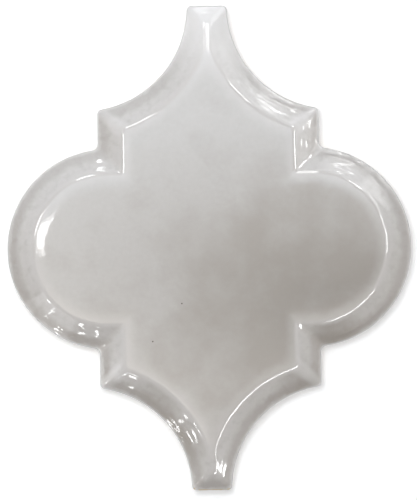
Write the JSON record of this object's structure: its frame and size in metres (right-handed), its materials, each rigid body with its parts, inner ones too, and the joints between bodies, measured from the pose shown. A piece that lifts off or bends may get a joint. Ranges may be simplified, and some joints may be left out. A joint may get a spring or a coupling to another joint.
{
  "type": "arabesque tile",
  "caption": "Glazed ceramic arabesque wall tile with round lobes, narrow necks and stepped shoulders, a bevel all round a flat face, and a keyed back.",
  "frame": {"origin": "middle of the tile's back, in the plane of the lands between the key grooves", "axes": "+Z out of the glazed face, +Y along the tile from neck to neck, +X across it from lobe to lobe"},
  "size_m": [0.125, 0.15, 0.0085],
  "materials": {
    "glaze": "glossy warm grey glaze"
  },
  "bodies": {
    "root": {"tile": "glaze"}
  },
  "joints": []
}
